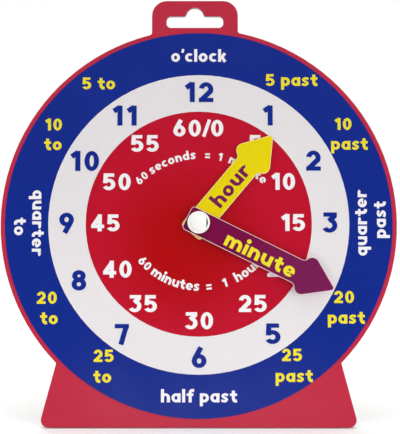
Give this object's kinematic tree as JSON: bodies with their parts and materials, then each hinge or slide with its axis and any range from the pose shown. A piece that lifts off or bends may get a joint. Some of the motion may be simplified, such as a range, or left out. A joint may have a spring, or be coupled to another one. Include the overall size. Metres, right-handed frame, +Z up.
{
  "type": "teaching clock",
  "caption": "Round card dial on a flat foot with a hang tab, two arrow hands that turn on a centre rivet, and a folding strut behind.",
  "frame": {"origin": "middle of the bounding box, at the level of the surface that the clock stands on", "axes": "+Z up, -Y the way the dial faces, +X to the viewer's right"},
  "size_m": [0.222, 0.0716, 0.234],
  "materials": {
    "greyboard": "matte",
    "red_print": "gloss",
    "blue_print": "gloss",
    "white_print": "gloss",
    "centre_red_print": "gloss",
    "yellow_print": "gloss",
    "purple_print": "gloss",
    "hand_card": "matte",
    "lining_paper": "matte",
    "rivet_plastic": "satin",
    "washer_plastic": "matte",
    "strut_board": "matte",
    "hinge_cloth": "matte",
    "tie_fabric": "matte"
  },
  "bodies": {
    "board": {"core_board": "greyboard", "face_sheet": "red_print", "back_lining": "lining_paper", "blue_ring_print": "blue_print", "white_ring_print": "white_print", "red_disc_print": "centre_red_print", "hour_numeral_1": "blue_print", "hour_numeral_2": "blue_print", "hour_numeral_3": "blue_print", "hour_numeral_4": "blue_print", "hour_numeral_5": "blue_print", "hour_numeral_6": "blue_print", "hour_numeral_7": "blue_print", "hour_numeral_8": "blue_print", "hour_numeral_9": "blue_print", "hour_numeral_10_tens": "blue_print", "hour_numeral_10_units": "blue_print", "hour_numeral_11_tens": "blue_print", "hour_numeral_11_units": "blue_print", "hour_numeral_12_tens": "blue_print", "hour_numeral_12_units": "blue_print", "rivet_head": "rivet_plastic", "rivet_socket": "rivet_plastic", "dial_washer": "washer_plastic", "hand_washer": "washer_plastic", "back_washer": "washer_plastic", "strut_plate": "strut_board", "hinge_tape_upper": "hinge_cloth", "ribbon_patch_board": "lining_paper", "tie_ribbon": "tie_fabric"},
    "hour_hand": {"hour_hand_card": "hand_card", "hour_hand_print": "yellow_print"},
    "minute_hand": {"minute_hand_card": "hand_card", "minute_hand_print": "purple_print"},
    "strut_leg": {"strut_leg": "strut_board", "hinge_tape_lower": "hinge_cloth", "ribbon_patch_leg": "lining_paper"}
  },
  "joints": [
    {"name": "hour_hand_turn", "type": "hinge", "parent": "board", "child": "hour_hand", "pos_m": [0, -0.00806, 0.11042], "axis": [0, 0.9703, -0.2419], "continuous": true},
    {"name": "minute_hand_turn", "type": "hinge", "parent": "board", "child": "minute_hand", "pos_m": [0, -0.00806, 0.11042], "axis": [0, 0.9703, -0.2419], "continuous": true},
    {"name": "strut_fold", "type": "hinge", "parent": "board", "child": "strut_leg", "pos_m": [0, 0.00504, 0.14498], "axis": [-1, 0, 0], "range_deg": [0, 25], "deforming": ["tie_ribbon"]}
  ]
}
